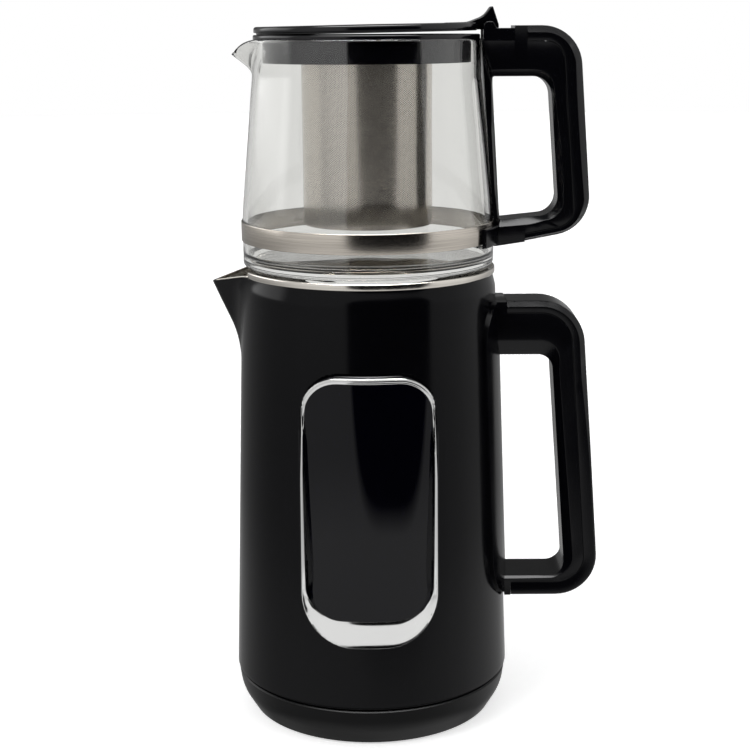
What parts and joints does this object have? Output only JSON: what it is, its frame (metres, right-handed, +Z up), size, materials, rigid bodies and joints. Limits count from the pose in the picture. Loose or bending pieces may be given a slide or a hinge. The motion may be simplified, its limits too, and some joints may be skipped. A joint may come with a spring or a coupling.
{
  "type": "automatic tea maker",
  "caption": "Two-tier tea maker: a black-shelled cordless kettle with a touch window on a low power base, and a lidded glass teapot with a strainer standing in its rim.",
  "frame": {"origin": "centre of the underside of the feet, on the common axis of base, kettle and teapot", "axes": "+Z up along the common axis, -Y out of the display window, +X to the handles, -X to the spouts"},
  "size_m": [0.2067, 0.1484, 0.378],
  "materials": {
    "black_plastic": "satin black injection-moulded plastic",
    "base_plastic": "fine-textured black plastic",
    "lid_plastic": "polished black plastic",
    "dark_window": "polished dark window over the touch keys",
    "brushed_steel": "brushed stainless steel",
    "polished_steel": "polished stainless steel",
    "chrome_trim": "chromed plastic trim",
    "clear_glass": "clear borosilicate glass",
    "silicone": "silicone rubber",
    "black_rubber": "soft rubber",
    "aluminium": "cast aluminium",
    "brass": "turned brass",
    "screw_steel": "zinc-plated steel",
    "circuit_board": "green circuit board",
    "control_plastic": "heat-proof moulding"
  },
  "bodies": {
    "base": {"base_housing": "base_plastic", "base_plate": "base_plastic", "base_feet": "black_rubber", "base_screws": "screw_steel", "cord_gland": "base_plastic", "base_connector": "base_plastic", "base_terminals": "brass"},
    "kettle": {"kettle_shell": "black_plastic", "kettle_pot": "polished_steel", "pot_seal": "silicone", "panel_frame": "chrome_trim", "front_panel": "dark_window", "control_board": "circuit_board", "ribbon_cable": "control_plastic", "heater_plate": "aluminium", "heating_element": "polished_steel", "control_housing": "control_plastic", "bimetal_disc": "brass", "kettle_connector": "brass", "kettle_base_cover": "base_plastic", "base_cover_screws": "screw_steel", "handle_mount": "black_plastic", "kettle_handle_frame": "black_plastic", "kettle_handle_cover": "black_plastic", "kettle_handle_screws": "screw_steel"},
    "teapot": {"teapot_glass": "clear_glass", "teapot_band": "brushed_steel", "teapot_handle_frame": "black_plastic", "teapot_handle_cover": "black_plastic", "strainer_collar": "black_plastic", "strainer_basket": "brushed_steel", "strainer_floor": "brushed_steel", "hinge_pin": "polished_steel"},
    "lid": {"lid": "lid_plastic"}
  },
  "joints": [
    {"name": "kettle_lift", "type": "slide", "parent": "base", "child": "kettle", "axis": [0, 0, 1], "range_m": [0, 0.06]},
    {"name": "teapot_lift", "type": "slide", "parent": "kettle", "child": "teapot", "axis": [0, 0, 1], "range_m": [0, 0.06]},
    {"name": "lid_hinge", "type": "hinge", "parent": "teapot", "child": "lid", "pos_m": [0.0623, 0, 0.3683], "axis": [0, 1, 0], "range_deg": [0, 85]}
  ]
}
